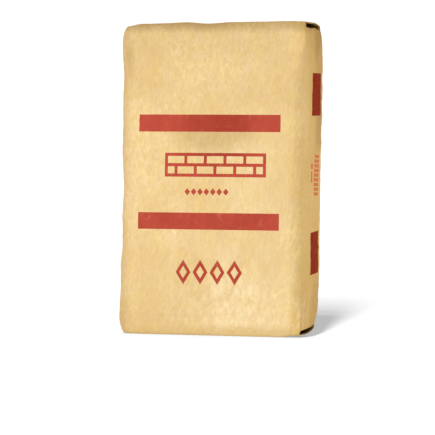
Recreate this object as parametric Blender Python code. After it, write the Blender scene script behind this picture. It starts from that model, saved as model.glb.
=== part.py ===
"""Filled cement sack: a pasted block-bottom paper valve sack standing on its bottom end.

Metres, +Z up. The origin is the middle of the resting face. X runs along the sack's
width, the printed front faces -Y, and the filling valve is in the top +X corner.
"""
import math

import bmesh
import bpy

# Driving dimensions
OVERALL_HEIGHT = 0.640        # resting face to the top of the upper cover patch
END_LENGTH = 0.390            # long side of each folded end
END_WIDTH = 0.140             # short side of each folded end
MIDDLE_EXTRA_WIDTH = 0.002    # how much wider the filled middle is than the ends
MIDDLE_EXTRA_DEPTH = 0.012    # how much deeper its corners stand than the ends
FACE_CROWN = 0.006            # how far the broad faces bow out at mid-height
SIDE_CROWN = 0.002            # how far the narrow sides bow out at mid-height
SWELL_LENGTH = 0.130          # distance from an end in which the body swells out

FRONT_CORNER_AT_END = 0.005   # corner radii, seen from above
BACK_CORNER_AT_END = 0.028
CORNER_AT_MIDDLE = 0.028
END_EDGE_RADIUS = 0.003       # rounding of the fold between a wall and an end
DRAW_IN = {-1: 0.010, 1: 0.003}   # how far each narrow side draws in at the ends
DRAW_IN_HEIGHT = 0.020        # distance from an end in which it draws in

WALL = 0.0009                 # the plies of a wall, lying on each other
END_PANEL = 0.0020            # the glued flaps that close an end
TUCK = 0.0012                 # the folded-in end of a narrow side
PATCH_THICKNESS = 0.0006      # the sheet glued over an end's flaps
GAP = 0.0003                  # between touching pieces

POCKET_DEPTH = 0.052          # the slit between a tuck and the flaps above it
POCKET_MOUTH = {-1: 0.0050, 1: 0.0085}
POCKET_INNER_HEIGHT = 0.0010
POCKET_SIDE_WALL = 0.0015

PATCH_LENGTH = END_LENGTH - 0.034
PATCH_WIDTH = END_WIDTH - 0.016
PATCH_CORNER_CUT = 0.008

SLEEVE_WIDTH = 0.086          # the flat paper tube that the filling spout goes into
SLEEVE_LENGTH = 0.120
SLEEVE_HEIGHT = 0.0026
SLEEVE_WALL = 0.0007
SLEEVE_SETBACK = 0.028        # from the sack's narrow side to the sleeve's mouth
VALVE_STEP = 0.0002           # the valve channel lies this far under the flaps
SLEEVE_FILL_GAP = 0.0006      # between the sleeve and the cement under it

# Mesh density
CORNER_STEPS = 5
FACE_STEPS = 8
SIDE_STEPS = 4
BODY_RINGS = 14
EDGE_STEPS = 3
END_RINGS = (0.006, 0.009)    # rings near an end, by their distance from it
END_ZONE = 0.012              # the height at each end that the body rings leave out
CUTTER_REACH = 0.020          # how far a cutter runs past the surface that it opens

SACK_BOTTOM = PATCH_THICKNESS + GAP
SACK_TOP = OVERALL_HEIGHT - PATCH_THICKNESS - GAP
SACK_HALF_HEIGHT = (SACK_TOP - SACK_BOTTOM) / 2
SACK_MIDDLE = (SACK_TOP + SACK_BOTTOM) / 2
END_SIDE = END_LENGTH / 2     # where a narrow side meets the end, in X
ROOF = SACK_HALF_HEIGHT - END_PANEL   # the underside of the flaps, from mid-height

KRAFT = (0.80, 0.62, 0.31, 1.0)
KRAFT_PATCH = (0.74, 0.56, 0.28, 1.0)
KRAFT_SLEEVE = (0.62, 0.45, 0.22, 1.0)
CEMENT_GREY = (0.36, 0.36, 0.35, 1.0)
PAPER_ROUGHNESS = 0.75
CEMENT_ROUGHNESS = 0.95


def clear_scene():
    for item in list(bpy.data.objects):
        bpy.data.objects.remove(item, do_unlink=True)


def make_material(name, colour, roughness):
    material = bpy.data.materials.new(name)
    material.use_nodes = True
    shader = material.node_tree.nodes["Principled BSDF"]
    shader.inputs["Base Color"].default_value = colour
    shader.inputs["Roughness"].default_value = roughness
    shader.inputs["Metallic"].default_value = 0.0
    return material


def swell_at(height):
    """0 at the sack's ends and 1 where the filled body is at its fullest."""
    from_end = min(height - SACK_BOTTOM, SACK_TOP - height)
    share = max(0.0, min(1.0, from_end / SWELL_LENGTH))
    return share * share * (3 - 2 * share)


def draw_in_at(side_x, height):
    """How far a narrow side stands back near the ends, as a quarter of an ellipse."""
    from_end = min(height - SACK_BOTTOM, SACK_TOP - height)
    rise = max(0.0, min(1.0, from_end / DRAW_IN_HEIGHT))
    return DRAW_IN[side_x] * (1 - math.sqrt(1 - (1 - rise) ** 2))


def blend(end_value, middle_value, share):
    return end_value + (middle_value - end_value) * share


def corner_arc(centre_x, centre_y, radius, start_angle):
    points = []
    for step in range(CORNER_STEPS + 1):
        angle = start_angle + math.pi / 2 * step / CORNER_STEPS
        points.append((centre_x + radius * math.cos(angle), centre_y + radius * math.sin(angle)))
    return points


def outline(height, inset):
    """The sack's cross-section at a height, moved inwards by the inset."""
    swell = swell_at(height)
    reach_x = {
        side: END_SIDE + swell * MIDDLE_EXTRA_WIDTH / 2 - draw_in_at(side, height) - inset
        for side in (-1, 1)
    }
    half_y = (END_WIDTH + swell * MIDDLE_EXTRA_DEPTH) / 2 - inset
    front_radius = blend(FRONT_CORNER_AT_END, CORNER_AT_MIDDLE, swell) - inset
    back_radius = blend(BACK_CORNER_AT_END, CORNER_AT_MIDDLE, swell) - inset
    corners = (
        (1, -1, front_radius, -math.pi / 2),
        (1, 1, back_radius, 0.0),
        (-1, 1, back_radius, math.pi / 2),
        (-1, -1, front_radius, math.pi),
    )
    points = []
    for index, (side_x, side_y, radius, start_angle) in enumerate(corners):
        centre_x = side_x * (reach_x[side_x] - radius)
        arc = corner_arc(centre_x, side_y * (half_y - radius), radius, start_angle)
        points.extend(arc)
        next_x, next_y, next_radius, _ = corners[(index + 1) % 4]
        if side_x == next_x:
            steps = SIDE_STEPS
            far = (side_x * reach_x[side_x], next_y * (half_y - next_radius))
        else:
            steps = FACE_STEPS
            far = (next_x * (reach_x[next_x] - next_radius), side_y * half_y)
        near = arc[-1]
        for step in range(1, steps):
            share = step / steps
            bow = 4 * share * (1 - share) * swell
            x = blend(near[0], far[0], share)
            y = blend(near[1], far[1], share)
            if side_x == next_x:
                x += side_x * SIDE_CROWN * bow
            else:
                y += side_y * FACE_CROWN * bow
            points.append((x, y))
    return points


def body_heights():
    """Ring heights between the rounded edges, closer together near the ends."""
    low = SACK_BOTTOM + END_ZONE
    high = SACK_TOP - END_ZONE
    heights = [SACK_BOTTOM + distance for distance in END_RINGS]
    for ring in range(BODY_RINGS + 1):
        share = (1 - math.cos(math.pi * ring / BODY_RINGS)) / 2
        heights.append(blend(low, high, share))
    heights += [SACK_TOP - distance for distance in reversed(END_RINGS)]
    return heights


def sack_levels(inset, end_inset, edge_radius):
    """Heights and insets of the rings that make a closed body inside the sack's outline."""
    low = SACK_BOTTOM + end_inset
    high = SACK_TOP - end_inset
    rounding = []
    for step in range(EDGE_STEPS + 1):
        angle = math.pi / 2 * step / EDGE_STEPS
        rounding.append((edge_radius * (1 - math.cos(angle)), edge_radius * (1 - math.sin(angle))))
    levels = [(low + rise, inset + extra) for rise, extra in rounding]
    levels += [(height, inset) for height in body_heights()]
    levels += [(high - rise, inset + extra) for rise, extra in reversed(rounding)]
    return levels


def loft_body(name, inset, end_inset, edge_radius):
    mesh = bmesh.new()
    rings = []
    for height, ring_inset in sack_levels(inset, end_inset, edge_radius):
        rings.append([mesh.verts.new((x, y, height)) for x, y in outline(height, ring_inset)])
    count = len(rings[0])
    for lower, upper in zip(rings, rings[1:]):
        for index in range(count):
            after = (index + 1) % count
            mesh.faces.new((lower[index], lower[after], upper[after], upper[index]))
    mesh.faces.new(list(reversed(rings[0])))
    mesh.faces.new(rings[-1])
    return finish_mesh(mesh, name)


def finish_mesh(mesh, name):
    bmesh.ops.recalc_face_normals(mesh, faces=mesh.faces)
    data = bpy.data.meshes.new(name)
    mesh.to_mesh(data)
    mesh.free()
    item = bpy.data.objects.new(name, data)
    bpy.context.scene.collection.objects.link(item)
    return item


def extrude_profile(mesh, profile, low_y, high_y):
    """A closed prism along Y from an XZ profile."""
    near = [mesh.verts.new((x, low_y, z)) for x, z in profile]
    far = [mesh.verts.new((x, high_y, z)) for x, z in profile]
    mesh.faces.new(near)
    mesh.faces.new(list(reversed(far)))
    for index in range(len(profile)):
        after = (index + 1) % len(profile)
        mesh.faces.new((near[index], far[index], far[after], near[after]))


def wedge_profile(side, end, grow, roof_rise):
    """The pocket's wedge in XZ, at one narrow side and one end, grown inwards by a margin."""
    inner_x = END_SIDE - POCKET_DEPTH - grow
    outer_x = END_SIDE + CUTTER_REACH
    slope = (POCKET_MOUTH[side] - POCKET_INNER_HEIGHT) / POCKET_DEPTH
    inner_floor = ROOF - POCKET_INNER_HEIGHT - grow
    outer_floor = inner_floor - slope * (outer_x - inner_x)
    profile = (
        (inner_x, ROOF + roof_rise),
        (inner_x, inner_floor),
        (outer_x, outer_floor),
        (outer_x, ROOF + roof_rise),
    )
    return [(side * x, SACK_MIDDLE + end * z) for x, z in profile]


def pocket_cutter(name, grow, half_width, roof_rise):
    """The four pocket wedges, one at each short edge of the two ends."""
    mesh = bmesh.new()
    for side in (-1, 1):
        for end in (-1, 1):
            extrude_profile(mesh, wedge_profile(side, end, grow, roof_rise), -half_width, half_width)
    return as_cutter(finish_mesh(mesh, name))


def box_cutter(name, low, high):
    mesh = bmesh.new()
    profile = ((low[0], low[2]), (high[0], low[2]), (high[0], high[2]), (low[0], high[2]))
    extrude_profile(mesh, profile, low[1], high[1])
    return as_cutter(finish_mesh(mesh, name))


def as_cutter(item):
    item.hide_render = True
    item.display_type = "WIRE"
    return item


def cut(item, cutter):
    modifier = item.modifiers.new("cut_" + cutter.name, "BOOLEAN")
    modifier.operation = "DIFFERENCE"
    modifier.solver = "EXACT"
    modifier.object = cutter


def shade_smooth(item, limit_degrees):
    item.data.shade_smooth()
    item.data.set_sharp_from_angle(angle=math.radians(limit_degrees))


def sleeve_extent():
    """Lowest and highest corner of the valve sleeve."""
    mouth_x = END_SIDE - SLEEVE_SETBACK
    top = SACK_MIDDLE + ROOF - VALVE_STEP - GAP
    low = (mouth_x - SLEEVE_LENGTH, -SLEEVE_WIDTH / 2, top - SLEEVE_HEIGHT)
    high = (mouth_x, SLEEVE_WIDTH / 2, top)
    return low, high


def make_paper_sack(material):
    sack = loft_body("paper_sack", 0.0, 0.0, END_EDGE_RADIUS)
    cavity = as_cutter(loft_body("cavity_cutter", WALL, END_PANEL, END_EDGE_RADIUS - WALL))
    half_pocket = END_WIDTH / 2 - POCKET_SIDE_WALL
    tucks = pocket_cutter("tuck_cutter", TUCK, END_WIDTH / 2 + CUTTER_REACH, CUTTER_REACH)
    cut(cavity, tucks)
    low, high = sleeve_extent()
    channel_low = (END_SIDE - POCKET_DEPTH - CUTTER_REACH, low[1] - GAP, low[2] - GAP)
    channel_high = (high[0] + GAP, high[1] + GAP, high[2] + GAP)
    cut(sack, cavity)
    cut(sack, pocket_cutter("pocket_cutter", 0.0, half_pocket, 0.0))
    cut(sack, box_cutter("valve_cutter", channel_low, channel_high))
    shade_smooth(sack, 40)
    sack.data.materials.append(material)
    return sack


def make_cement_fill(material):
    fill = loft_body("cement_fill", WALL + GAP, END_PANEL + GAP, END_EDGE_RADIUS - WALL)
    reach = END_WIDTH / 2 + CUTTER_REACH
    cut(fill, pocket_cutter("fill_tuck_cutter", TUCK + GAP, reach, CUTTER_REACH))
    low, high = sleeve_extent()
    recess_low = (low[0] - GAP, low[1] - GAP, low[2] - SLEEVE_FILL_GAP)
    recess_high = (END_SIDE, high[1] + GAP, high[2] + CUTTER_REACH)
    cut(fill, box_cutter("sleeve_recess_cutter", recess_low, recess_high))
    shade_smooth(fill, 40)
    fill.data.materials.append(material)
    return fill


def make_cover_patch(name, low_height, material):
    half_x = PATCH_LENGTH / 2
    half_y = PATCH_WIDTH / 2
    outline_points = []
    for side_x, side_y in ((1, -1), (1, 1), (-1, 1), (-1, -1)):
        along_x = (side_x * (half_x - PATCH_CORNER_CUT), side_y * half_y)
        along_y = (side_x * half_x, side_y * (half_y - PATCH_CORNER_CUT))
        first_is_x = side_x * side_y < 0
        outline_points += [along_x, along_y] if first_is_x else [along_y, along_x]
    mesh = bmesh.new()
    base = [mesh.verts.new((x, y, low_height)) for x, y in outline_points]
    face = mesh.faces.new(base)
    raised = bmesh.ops.extrude_face_region(mesh, geom=[face])
    top = [part for part in raised["geom"] if isinstance(part, bmesh.types.BMVert)]
    bmesh.ops.translate(mesh, verts=top, vec=(0, 0, PATCH_THICKNESS))
    patch = finish_mesh(mesh, name)
    patch.data.materials.append(material)
    return patch


def make_valve_sleeve(material):
    low, high = sleeve_extent()
    mesh = bmesh.new()
    profile = ((low[0], low[2]), (high[0], low[2]), (high[0], high[2]), (low[0], high[2]))
    extrude_profile(mesh, profile, low[1], high[1])
    sleeve = finish_mesh(mesh, "valve_sleeve")
    bore_low = (low[0] - CUTTER_REACH, low[1] + SLEEVE_WALL, low[2] + SLEEVE_WALL)
    bore_high = (high[0] + CUTTER_REACH, high[1] - SLEEVE_WALL, high[2] - SLEEVE_WALL)
    cut(sleeve, box_cutter("sleeve_bore_cutter", bore_low, bore_high))
    sleeve.data.materials.append(material)
    return sleeve


def build_sack():
    clear_scene()
    kraft = make_material("kraft_paper", KRAFT, PAPER_ROUGHNESS)
    patch_paper = make_material("patch_paper", KRAFT_PATCH, PAPER_ROUGHNESS)
    sleeve_paper = make_material("sleeve_paper", KRAFT_SLEEVE, PAPER_ROUGHNESS)
    cement = make_material("cement_powder", CEMENT_GREY, CEMENT_ROUGHNESS)
    make_paper_sack(kraft)
    make_cement_fill(cement)
    make_cover_patch("bottom_cover_patch", 0.0, patch_paper)
    make_cover_patch("top_cover_patch", OVERALL_HEIGHT - PATCH_THICKNESS, patch_paper)
    make_valve_sleeve(sleeve_paper)


build_sack()
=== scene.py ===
"""Filled cement sack of creased kraft paper, standing on its pasted bottom end.

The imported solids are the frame. The paper, its folded ends, the cover patches and the cement
are modelled around them. Metres, +Z up, the printed front faces -Y.
"""
import math

import bmesh
import bpy
import numpy as np
from bpy.props import FloatProperty, FloatVectorProperty, PointerProperty
from mathutils import Matrix, Vector, noise


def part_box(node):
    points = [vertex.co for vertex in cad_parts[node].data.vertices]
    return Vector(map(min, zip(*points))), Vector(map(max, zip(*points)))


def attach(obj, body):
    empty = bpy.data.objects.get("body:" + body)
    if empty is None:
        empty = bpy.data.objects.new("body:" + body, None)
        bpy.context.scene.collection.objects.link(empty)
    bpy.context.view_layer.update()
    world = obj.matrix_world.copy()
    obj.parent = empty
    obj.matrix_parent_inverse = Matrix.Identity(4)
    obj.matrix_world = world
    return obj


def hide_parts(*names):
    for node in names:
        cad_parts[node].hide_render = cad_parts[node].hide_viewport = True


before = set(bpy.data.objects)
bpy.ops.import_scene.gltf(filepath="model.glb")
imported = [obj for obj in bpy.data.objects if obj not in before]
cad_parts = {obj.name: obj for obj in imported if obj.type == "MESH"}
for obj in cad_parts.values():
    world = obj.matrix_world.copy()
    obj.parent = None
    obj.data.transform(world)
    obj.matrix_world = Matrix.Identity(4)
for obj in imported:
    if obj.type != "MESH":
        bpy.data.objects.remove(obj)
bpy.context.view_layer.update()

bl_info = {
    "name": "Filled Paper Sack",
    "version": (1, 0, 0),
    "blender": (4, 5, 0),
    "location": "3D View > Sidebar > Sack",
    "description": "Models a filled block-bottom paper sack with folded ends and printed bars",
    "category": "Object",
}

SACK_FOOT, SACK_TOP = (corner.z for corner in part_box("paper_sack"))
SACK_MIDDLE = (SACK_FOOT + SACK_TOP) / 2
SLEEVE_LOW, SLEEVE_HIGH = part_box("valve_sleeve")
PATCH_BOXES = {
    "top_cover_patch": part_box("top_cover_patch"),
    "bottom_cover_patch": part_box("bottom_cover_patch"),
}

# How the walls run, as (place, amount) points of soft curves. Heights are above the floor.
RIGHT_BULGE = (
    (0.0, 0.0), (0.024, 0.0008), (0.22, 0.0008), (0.30, 0.0004), (0.365, -0.0001), (0.405, 0.0021),
    (0.44, 0.0022), (0.50, 0.0019), (0.57, 0.0030), (0.63, 0.0016), (0.64, 0.0010))
LEFT_BULGE = (
    (0.0, -0.0024), (0.035, -0.0028), (0.120, -0.0003), (0.190, -0.0024), (0.240, -0.0010),
    (0.298, -0.0042), (0.345, -0.0016), (0.380, 0.0010), (0.430, 0.0007), (0.470, 0.0020),
    (0.520, 0.0010), (0.600, 0.0005), (0.640, 0.0))
TOP_WAVE = (
    (-0.195, -0.0005), (-0.150, -0.0006), (-0.105, 0.0004), (-0.060, 0.0023), (-0.015, -0.0010),
    (0.040, 0.0019), (0.095, 0.0024), (0.145, 0.0033), (0.195, 0.0032))

# How wide the slits of the valve side gape, as (Y, height) points
TOP_GAPE = ((-0.070, 0.0102), (-0.045, 0.0102), (-0.019, 0.0099), (0.016, 0.0084), (0.070, 0.0076))
LOW_GAPE = ((-0.070, 0.0070), (-0.035, 0.0080), (-0.005, 0.0074), (0.030, 0.0050), (0.070, 0.0045))

# How dark the valve side looks towards the back, as (height, share) points
SIDE_SHADE = (
    (0.0, 0.36), (0.090, 0.34), (0.150, 0.12), (0.200, 0.04), (0.368, 0.06), (0.405, 0.46),
    (0.450, 0.46), (0.500, 0.36), (0.560, 0.38), (0.640, 0.44))

# Lifts and drops of the ends' corners: side in X, side in Y (0 for both), rise (a drop if below 0),
# reach in X and in Y, and how steeply it grows towards the back or front
BOTTOM_CORNERS = (
    (1, 0, 0.0044, 0.055, 1.0, 1.0),
    (1, 1, 0.0295, 0.070, 0.140, 2.9),
    (-1, -1, 0.0022, 0.045, 0.090, 1.0),
    (-1, 1, 0.0080, 0.060, 0.070, 1.5),
)
TOP_CORNERS = (
    (-1, 0, -0.0056, 0.040, 1.0, 1.0),
    (1, 1, 0.0066, 0.080, 0.135, 1.15),
    (1, 1, -0.0132, 0.045, 0.064, 1.4),
)
LIFT_HEIGHT = 0.110           # how far along the walls a moved corner is felt

# Dents: X on the front or Y on the side, height, reach across, reach along, depth
FRONT_DENTS = (
    (-0.020, 0.398, 0.055, 0.022, 0.0012),
    (-0.180, 0.566, 0.009, 0.045, 0.0018),
    (0.020, 0.628, 0.070, 0.012, 0.0010),
    (0.020, 0.075, 0.020, 0.016, 0.0008),
    (0.085, 0.060, 0.030, 0.022, 0.0008),
)
SIDE_DENTS = (
    (0.055, 0.420, 0.030, 0.035, 0.0014),
    (-0.030, 0.300, 0.030, 0.080, 0.0008),
)

# The walls' creases from handling: axis the wall faces, its side, number of creases, strength
WRINKLED_WALLS = ((1, -1, 16, 0.6), (1, 1, 30, 1.0), (0, 1, 9, 0.8), (0, -1, 12, 1.0))

# The block before it is shaped: places of its grid lines near an edge, from the edge inwards
EDGE_LINES_X = (0.0008, 0.0018, 0.0032, 0.0052)
EDGE_LINES_Y = (0.0007, 0.0015, 0.0028, 0.0048)
LIP_LINES = (0.0006, 0.0015, 0.0030, 0.0050)
PANEL_ROWS = 3
MOUTH_ROWS = 4
CUTS_PER_STEP = 100           # most cuts that one subdivision takes
SMOOTH_ANGLE = 40.0           # degrees up to which neighbouring faces are shaded as one
TINY = 1e-5                   # points closer than this to a plane lie on it
NO_ZERO = 1e-9                # keeps divisions away from zero

# The back's lengthwise seam: X of its free edge, its width, and the run and height of its step
SEAM_EDGE = -0.060
SEAM_WIDTH = 0.027
SEAM_SLOPE = 0.0006
SEAM_STEP = 0.0010

# Folds of the flat sack: their height, Y of the one that runs up the narrow sides, and how steep
# the edges of the folded triangles are in Y and in height
CREASE_STEP = 0.0009
SIDE_FOLD = -0.003
TRIANGLE_SLOPES = (0.98, 0.92)

# The glued flaps on an end: height of their edges, and half the width of their overlap
FLAP_STEP = 0.0004
OVERLAP_HALF = 0.0125

# The print. A rectangle is its two corners, each X or Y and height.
BAR_ENDS = (-0.1531, 0.1506)
BAR_HEIGHTS = ((0.4162, 0.4513), (0.2163, 0.2506))
BRICKS = ((-0.0955, 0.3240), (0.1215, 0.3730))
BRICK_JOINT, BRICK_LENGTH, BRICK_ROWS = 0.0066, 0.0422, 2
DOTS, DOT_COUNT = ((-0.0530, 0.2860), (0.0440, 0.3010)), 7
DIAMONDS, DIAMOND_COUNT, DIAMOND_LINE = ((-0.0707, 0.1040), (0.0763, 0.1545)), 4, 0.0086
SIDE_BARS = (((-0.0255, 0.4530), (0.0350, 0.5400)), ((-0.0215, 0.1285), (0.0395, 0.2150)))
SIDE_BLOCKS, BLOCK_PITCH = ((0.0020, 0.2885), (0.0360, 0.3749)), 0.0096
SIDE_DASHES = (((-0.0190, 0.3160), (-0.0085, 0.3385)), ((-0.0190, 0.3435), (-0.0085, 0.3545)))

# The stage. The low suns' rises are in degrees; their shadows end one behind the other, which
# makes a soft end. The shadow falls some degrees to the side of the line of sight.
FLOOR_SUN_RISES = (9.0, 12.0, 15.5, 20.0)
SHADOW_TURN = 4.3
FLOOR_RADIUS, DOME_RADIUS = 25.0, 26.0
WHITE = (1.0, 1.0, 1.0)


# Settings: lengths, angles, plain numbers and colours of the sidebar's panel

def metres(name, description, default):
    return FloatProperty(name=name, description=description, default=default, unit="LENGTH")


def degrees(name, description, angle):
    default = math.radians(angle)
    return FloatProperty(name=name, description=description, default=default, unit="ROTATION")


def number(name, description, default):
    return FloatProperty(name=name, description=description, default=default)


def paint(name, description, *default):
    return FloatVectorProperty(name=name, description=description, default=default, subtype="COLOR")


class SackShape(bpy.types.PropertyGroup):
    """Sizes of the filled sack."""

    end_length: metres("End length", "Long side of each folded end", 0.3915)
    end_width: metres("End width", "Short side of each folded end", 0.140)
    extra_width: metres("Extra width", "How much wider the filled middle is", 0.002)
    extra_depth: metres("Extra depth", "How much deeper the filled middle is", 0.012)
    face_crown: metres("Face crown", "Bow of the broad faces", 0.006)
    side_crown: metres("Side crown", "Bow of the narrow sides", 0.002)
    swell_length: metres("Swell length", "Stretch next to an end in which the body fills out", 0.130)
    crease_length: metres("Crease length", "How far the sharp corner folds run from an end", 0.044)
    front_corner: metres("Front corner", "Corner radius at the front of the ends", 0.0030)
    soft_corner: metres("Soft corner", "Corner radius of the filled body", 0.028)
    top_fold: metres("Top fold", "Rounding of the long folds of the upper end", 0.0085)
    bottom_fold: metres("Bottom fold", "Rounding of the long folds of the lower end", 0.0055)
    panel_edge: metres("Panel edge", "Rounding of the end panels over the slits", 0.0008)
    panel: metres("End panel", "Thickness of the glued flaps", 0.0020)
    mouth: metres("Slit height", "Height of the slits before they gape or are pressed", 0.0076)
    far_mouth: metres("Far slit height", "Height of the pressed slits at the far side", 0.0045)
    mouth_back: metres("Slit's back end", "Y at which the slits end before the back corner", 0.0385)
    patch_width: metres("Patch width", "Short side of the cover patches", 0.115)
    sag: metres("Sag", "How far the paper beside the lower patch hangs down", 0.0008)
    valve_wall: metres("Valve slit's front wall", "Paper between the valve's slit and the front", 0.0075)
    valve_roof: metres("Valve slit's roof", "Extra thickness of the flaps over the valve's slit", 0.0013)
    far_wall: metres("Far slit's front wall", "Paper between the far slits and the front", 0.006)
    pocket_depth: metres("Pocket depth", "How far a slit reaches in", 0.052)
    pocket_end: metres("Pocket end", "Height of a slit at its inner end", 0.0010)
    draw_left: metres("Left draw-in", "How far the left side draws in at the ends", 0.0095)
    draw_right: metres("Right draw-in", "How far the right side draws in at the ends", 0.0015)
    draw_height: metres("Draw-in height", "Stretch next to an end that draws in", 0.030)
    grid_step: metres("Grid step", "Distance between the paper's grid lines", 0.0035)
    lump_depth: metres("Lumps", "Height of the broad lumps of the filling", 0.0014)
    crinkle_depth: metres("Crinkles", "Height of the creases of handled paper", 0.0013)

    @property
    def half(self):
        """Half the length and half the width of the ends."""
        return self.end_length / 2, self.end_width / 2


class SackColours(bpy.types.PropertyGroup):
    """Colours of the papers, the print and the cement, and the painted shade and light, as linear light."""

    kraft: paint("Kraft", "The sack's paper", 0.770, 0.578, 0.298)
    kraft_light: paint("Light flecks", "Creases that catch the light", 0.860, 0.680, 0.390)
    kraft_pale: paint("Pale kraft", "The paper low on the valve's half of the front", 0.785, 0.645, 0.390)
    cream: paint("Cream flecks", "Diagonal strokes on the crumpled low front", 0.900, 0.745, 0.470)
    kraft_dark: paint("Dark mottling", "Darker patches of the paper", 0.640, 0.440, 0.185)
    kraft_shade: paint("Shaded kraft", "Folds, edges and the narrow sides", 0.620, 0.406, 0.130)
    shadow_tint: paint("Fold tint", "What folds and edges keep of the light", 0.520, 0.460, 0.390)
    edge_tint: paint("Edge tint", "What the front's right edge keeps of the light", 1.000, 0.985, 0.895)
    # Painted shade on the raw flap edges over the slits
    flap_edge_shade: paint("Flap edge", "Edges of the glued flaps over the slits", 0.120, 0.055, 0.012)
    ink: paint("Ink", "The printed bars", 0.470, 0.070, 0.042)
    # Darker ink: the ink's own clouds, darker low down, and painted shade round the upper bar's middle
    ink_thick_and_shaded: paint("Deep ink", "Where the ink lies thicker", 0.300, 0.032, 0.015)
    # The same red ink, painted darker for the narrow side, which lies in shade
    ink_side_shaded: paint("Side ink", "The bars on the narrow side", 0.262, 0.019, 0.001)
    ink_faded: paint("Faded ink", "The worn marks on the narrow side", 0.620, 0.150, 0.060)
    patch: paint("Patch", "The glued cover patches", 0.700, 0.510, 0.240)
    sleeve: paint("Sleeve", "The valve's brown paper", 0.400, 0.240, 0.095)
    # Painted shade inside the slits, and painted light where their back end catches bounced light
    pocket_shade: paint("Pocket", "Inside the slits", 0.060, 0.026, 0.006)
    pocket_end: paint("Pocket's end", "Lit paper at the back end of the slits", 0.300, 0.130, 0.020)
    cement: paint("Cement", "The grey powder", 0.300, 0.300, 0.290)


class StudioSetting(bpy.types.PropertyGroup):
    """Camera and light of the studio."""

    distance: metres("Distance", "Camera to the sack's axis, along the floor", 6.6)
    turn: degrees("Turn", "Camera's angle round the sack", 18.237)
    tilt: degrees("Tilt", "Camera's angle above level", 0.300)
    roll: degrees("Roll", "Camera's roll", 0.888)
    height: metres("Height", "Camera's height", 0.2074)
    offset: metres("Offset", "Camera's place to the side of the axis", -0.0065)
    lens: number("Lens", "Focal length on a 36 mm wide sensor, in millimetres", 264.54)
    sky: number("Sky", "Strength of the even light from all round", 0.66)
    key: number("Key", "Strength of the light from the upper left", 1.36)
    front: number("Front", "Strength of the light beside the camera", 0.36)
    side: number("Side", "Strength of the warm light from the right", 0.60)
    floor_sun: number("Floor sun", "Light that the low suns together cast on the floor", 13.6)
    floor_top: number("Floor top light", "Soft light from above, blocked next to the sack", 2.3)
    floor_glow: number("Floor glow", "Own light of the floor, a lit white table", 0.340)


# Shaping in numpy

def soft_step(value):
    """0 below 0, 1 above 1, soft between."""
    share = np.clip(value, 0.0, 1.0)
    return share * share * (3.0 - 2.0 * share)


def soft_curve(points, at):
    """A soft curve through (place, amount) points."""
    places, amounts = np.array(points).T
    index = np.clip(np.searchsorted(places, at) - 1, 0, len(places) - 2)
    share = soft_step((at - places[index]) / (places[index + 1] - places[index]))
    return amounts[index] + (amounts[index + 1] - amounts[index]) * share


def line_valley(distance, width):
    """1 on a crease line, falling off to 0 over its width."""
    return np.exp(-(distance / width) ** 2)


def noise_at(points, scale, seed):
    """Smooth noise from -1 to 1 at each point, its grain 1 / scale metres long."""
    shift = Vector((seed, seed * 1.7, -seed))
    return np.array([noise.noise(Vector(point) * scale + shift) for point in points])


def crease_at(points, scale, seed):
    """1 along the edges between paper facets, 0 in their middles."""
    shift = Vector((seed, -seed, seed * 0.6))
    nearest = [noise.voronoi(Vector(point) * scale + shift)[0] for point in points]
    return 1.0 - soft_step(np.array([second - first for first, second, *_ in nearest]) / 0.38)


def stretched(points, lean_degrees, stretch):
    """Points for noise whose grain is drawn out upwards and leans to the right."""
    lean = math.radians(lean_degrees)
    x, y, z = points.T
    across = x + 0.6 * y
    turned_x = across * math.cos(lean) - z * math.sin(lean)
    turned_z = (across * math.sin(lean) + z * math.cos(lean)) / stretch
    return np.stack((turned_x, y * 0.8, turned_z), axis=1)


def from_nearest_end(height):
    """How far a height lies inside the nearer end of the sack."""
    return np.clip(np.minimum(height - SACK_FOOT, SACK_TOP - height), 0.0, None)


def walls_at(block, shape):
    """Which points of the block lie on the narrow walls, on the broad walls and on the back."""
    half_x, half_y = shape.half
    x, y, _ = block.T
    return np.abs(x) > half_x - TINY, np.abs(y) > half_y - TINY, y > half_y - TINY


def fold_radius(points, fold):
    """The long folds' radius, uneven along the sack."""
    return fold * (1.0 + 0.30 * noise_at(points * np.array([1.0, 0.0, 0.0]), 17.0, 3.1))


def round_folds(points, shape):
    """Rounds the folds between the walls and the two ends."""
    for end, way, long_fold in ((SACK_TOP, 1, shape.top_fold), (SACK_FOOT, -1, shape.bottom_fold)):
        for axis, radius in ((1, fold_radius(points, long_fold)), (0, shape.panel_edge)):
            core = shape.half[axis] - radius
            out = np.abs(points[:, axis]) - core
            up = way * (points[:, 2] - end) + radius
            reach = np.hypot(out, up)
            near = (out > 0) & (up > 0) & (reach > radius)
            share = np.where(near, radius / np.maximum(reach, NO_ZERO), 1.0)
            rounded = np.sign(points[:, axis]) * (core + out * share)
            points[:, axis] = np.where(near, rounded, points[:, axis])
            points[:, 2] = np.where(near, end + way * (up * share - radius), points[:, 2])


def corner_radius(points, shape):
    """Corner radius of the cross-section at each point's height."""
    _, y, z = points.T
    filled = soft_step((from_nearest_end(z) - shape.crease_length * 0.7) / (shape.swell_length * 0.6))
    front = shape.front_corner + (shape.soft_corner - shape.front_corner) * filled
    low = 1.0 - soft_step((z - SACK_FOOT) / 0.050)
    high = 1.0 - soft_step((SACK_TOP - z) / 0.020)
    back = shape.soft_corner + 0.014 * low + 0.006 * high
    return np.where(y < 0, front, back)


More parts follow.
